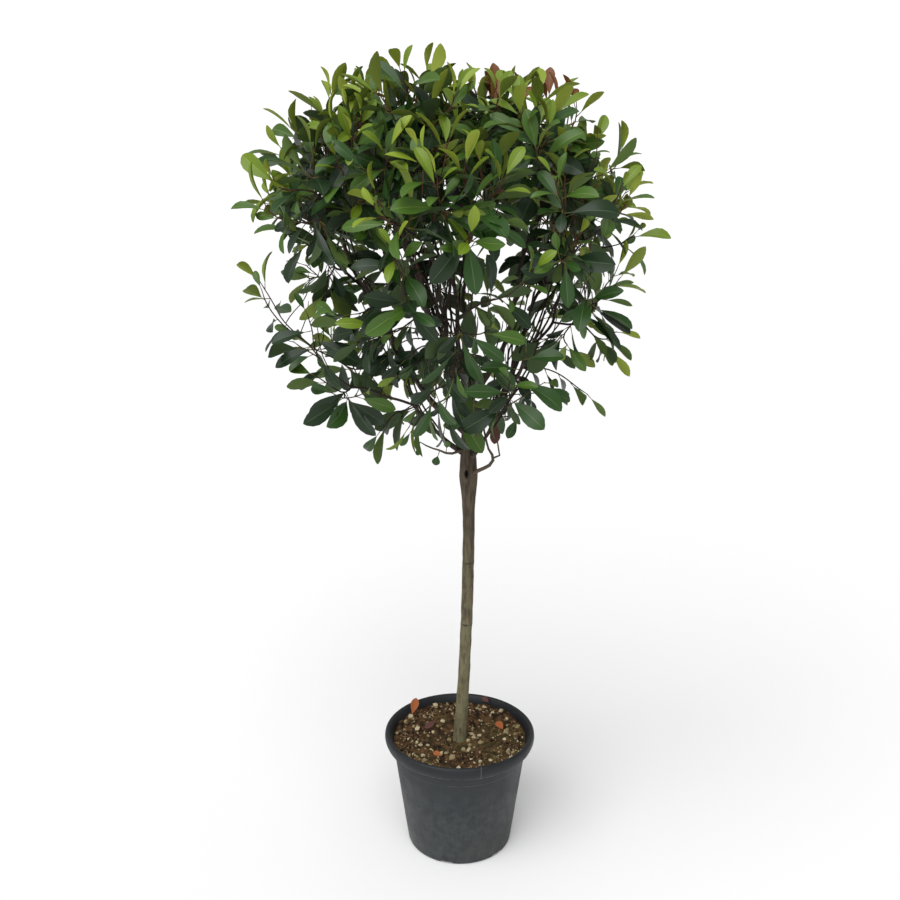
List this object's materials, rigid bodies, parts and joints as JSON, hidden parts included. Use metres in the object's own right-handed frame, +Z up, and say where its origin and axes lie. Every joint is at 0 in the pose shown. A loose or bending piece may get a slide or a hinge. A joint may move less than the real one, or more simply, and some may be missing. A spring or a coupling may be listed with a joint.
{
  "type": "potted photinia ball",
  "caption": "Photinia trained as a round open ball of glossy leaves on a clear stem, standing in a tapered round nursery pot filled with soil.",
  "frame": {"origin": "middle of the pot's flat underside, at the floor", "axes": "+Z up along the stem, +X to the right seen from the front, front towards -Y"},
  "size_m": [0.9345, 0.9321, 1.937],
  "materials": {
    "pot": "dusty dark blue-grey moulded plastic",
    "soil": "moist brown potting soil with pale grit",
    "bark": "smooth olive grey-brown bark",
    "young_bark": "grey-brown young bark",
    "leaf_low": "glossy dark green leaf",
    "leaf_middle": "glossy green leaf",
    "leaf_upper": "fresh light green leaf",
    "leaf_top": "fresh light green leaf"
  },
  "bodies": {
    "root": {"pot": "pot", "soil": "soil", "trunk": "bark", "bough_low_1": "young_bark", "bough_low_2": "young_bark", "bough_low_3": "young_bark", "bough_middle_1": "young_bark", "bough_middle_2": "young_bark", "bough_middle_3": "young_bark", "bough_middle_4": "young_bark", "bough_middle_5": "young_bark", "bough_upper_1": "young_bark", "bough_upper_2": "young_bark", "bough_upper_3": "young_bark", "leaves_low_1": "leaf_low", "leaves_low_2": "leaf_low", "leaves_low_3": "leaf_low", "leaves_middle_1": "leaf_middle", "leaves_middle_2": "leaf_middle", "leaves_middle_3": "leaf_middle", "leaves_middle_4": "leaf_middle", "leaves_middle_5": "leaf_middle", "leaves_upper_1": "leaf_upper", "leaves_upper_2": "leaf_upper", "leaves_upper_3": "leaf_upper", "leaves_top": "leaf_top"}
  },
  "joints": []
}
